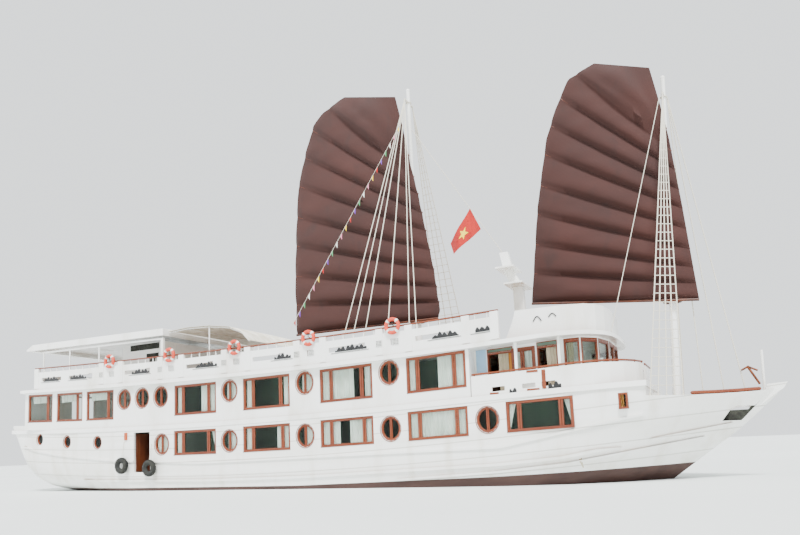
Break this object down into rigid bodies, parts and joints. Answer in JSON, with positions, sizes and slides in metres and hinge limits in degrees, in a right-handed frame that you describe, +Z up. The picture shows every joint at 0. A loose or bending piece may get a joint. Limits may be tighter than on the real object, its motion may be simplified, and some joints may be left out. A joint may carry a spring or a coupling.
{
  "type": "three-deck cruising junk ship",
  "caption": "Wooden cruising junk with cabins on two decks, sun deck, side gallery, wheelhouse and two swinging batwing sails.",
  "frame": {"origin": "amidships on the centreline at the water surface", "axes": "+X to the bow, +Y to port, +Z up"},
  "size_m": [39.18, 8.3086, 21.41],
  "materials": {
    "white_paint": "glossy white marine enamel on timber planking, softly weathered",
    "antifouling": "matt reddish-brown antifouling",
    "varnished_wood": "varnished reddish hardwood",
    "sail_cloth": "matt maroon-brown canvas",
    "rope": "white laid rope",
    "tyre_rubber": "weathered black rubber",
    "awning_cloth": "cream canvas",
    "flag_cloth": "red bunting",
    "bronze": "cast propeller bronze",
    "steel": "turned steel",
    "rusty_iron": "rusty iron"
  },
  "bodies": {
    "ship": {"hull_bottom": "antifouling", "hull_topsides": "white_paint", "lower_transom": "white_paint", "lower_bow_bulkhead": "white_paint", "lower_wall_starboard": "white_paint", "lower_wall_port": "white_paint", "upper_deck": "white_paint", "upper_aft_bulkhead": "white_paint", "upper_wall_starboard": "white_paint", "upper_wall_port": "white_paint", "stern_bulwark": "white_paint", "wheelhouse": "white_paint", "sun_deck": "white_paint", "parapet_starboard": "white_paint", "parapet_port": "white_paint", "bar_house": "white_paint", "gallery_bulwark_starboard": "white_paint", "gallery_bulwark_port": "white_paint", "roof_box": "white_paint", "signal_mast": "white_paint", "canopy_roof": "white_paint", "canopy_frame_starboard": "white_paint", "canopy_frame_port": "white_paint", "fore_mast": "white_paint", "main_mast": "white_paint", "fore_stair": "white_paint", "jack_staff": "white_paint", "sun_rail_starboard": "varnished_wood", "sun_rail_port": "varnished_wood", "gallery_rail_starboard": "varnished_wood", "gallery_rail_port": "varnished_wood", "cap_rail_starboard": "varnished_wood", "cap_rail_port": "varnished_wood", "awning": "awning_cloth", "main_rigging": "rope", "fore_rigging": "rope", "main_fore_stay": "rope", "flag": "flag_cloth", "windlass": "rusty_iron", "anchor": "rusty_iron", "shaft_starboard": "steel", "shaft_port": "steel", "tyre_fender_aft_starboard": "tyre_rubber", "tyre_fender_aft_port": "tyre_rubber", "tyre_fender_fore_starboard": "tyre_rubber", "tyre_fender_fore_port": "tyre_rubber"},
    "fore_sail_rig": {"fore_sail": "sail_cloth", "fore_boom": "varnished_wood"},
    "main_sail_rig": {"main_sail": "sail_cloth", "main_boom": "varnished_wood"},
    "propeller_starboard": {"propeller_starboard": "bronze"},
    "rudder_starboard": {"rudder_starboard": "antifouling"},
    "boarding_door_starboard": {"boarding_door_starboard": "varnished_wood"},
    "gallery_door_starboard": {"gallery_door_starboard": "varnished_wood"},
    "bridge_door_starboard": {"bridge_door_starboard": "varnished_wood"},
    "propeller_port": {"propeller_port": "bronze"},
    "rudder_port": {"rudder_port": "antifouling"},
    "boarding_door_port": {"boarding_door_port": "varnished_wood"},
    "gallery_door_port": {"gallery_door_port": "varnished_wood"},
    "bridge_door_port": {"bridge_door_port": "varnished_wood"}
  },
  "joints": [
    {"name": "fore_sail_swing", "type": "hinge", "parent": "ship", "child": "fore_sail_rig", "pos_m": [15.84724, 0, 7.08], "axis": [0.037, 0, 0.9993], "range_deg": [-10, 10]},
    {"name": "main_sail_swing", "type": "hinge", "parent": "ship", "child": "main_sail_rig", "pos_m": [4.64, 0, 7.5], "axis": [0, 0, 1], "range_deg": [-10, 10]},
    {"name": "propeller_starboard_spin", "type": "hinge", "parent": "ship", "child": "propeller_starboard", "pos_m": [-13.3, -1.35, -1.15], "axis": [1, 0, 0], "continuous": true},
    {"name": "rudder_starboard_turn", "type": "hinge", "parent": "ship", "child": "rudder_starboard", "pos_m": [-14.2, -1.35, -1], "axis": [0, 0, 1], "range_deg": [-35, 35]},
    {"name": "propeller_port_spin", "type": "hinge", "parent": "ship", "child": "propeller_port", "pos_m": [-13.3, 1.35, -1.15], "axis": [1, 0, 0], "continuous": true},
    {"name": "rudder_port_turn", "type": "hinge", "parent": "ship", "child": "rudder_port", "pos_m": [-14.2, 1.35, -1], "axis": [0, 0, 1], "range_deg": [-35, 35]},
    {"name": "boarding_door_starboard_hinge", "type": "hinge", "parent": "ship", "child": "boarding_door_starboard", "pos_m": [-9.56, -3.695, 0.9641], "axis": [0, 0, 1], "range_deg": [-80, 5]},
    {"name": "boarding_door_port_hinge", "type": "hinge", "parent": "ship", "child": "boarding_door_port", "pos_m": [-9.56, 3.695, 0.9641], "axis": [0, 0, -1], "range_deg": [-80, 5]},
    {"name": "gallery_door_starboard_hinge", "type": "hinge", "parent": "ship", "child": "gallery_door_starboard", "pos_m": [8.99, -2.995, 3.628], "axis": [0, 0, 1], "range_deg": [-85, 5]},
    {"name": "gallery_door_port_hinge", "type": "hinge", "parent": "ship", "child": "gallery_door_port", "pos_m": [8.99, 2.995, 3.628], "axis": [0, 0, -1], "range_deg": [-85, 5]},
    {"name": "bridge_door_starboard_hinge", "type": "hinge", "parent": "ship", "child": "bridge_door_starboard", "pos_m": [11.02, -2.995, 3.6907], "axis": [0, 0, 1], "range_deg": [-85, 5]},
    {"name": "bridge_door_port_hinge", "type": "hinge", "parent": "ship", "child": "bridge_door_port", "pos_m": [11.02, 2.995, 3.6907], "axis": [0, 0, -1], "range_deg": [-85, 5]}
  ],
  "couplings": [
    {"joint": "rudder_port_turn", "follows": "rudder_starboard_turn", "ratio": 1}
  ]
}
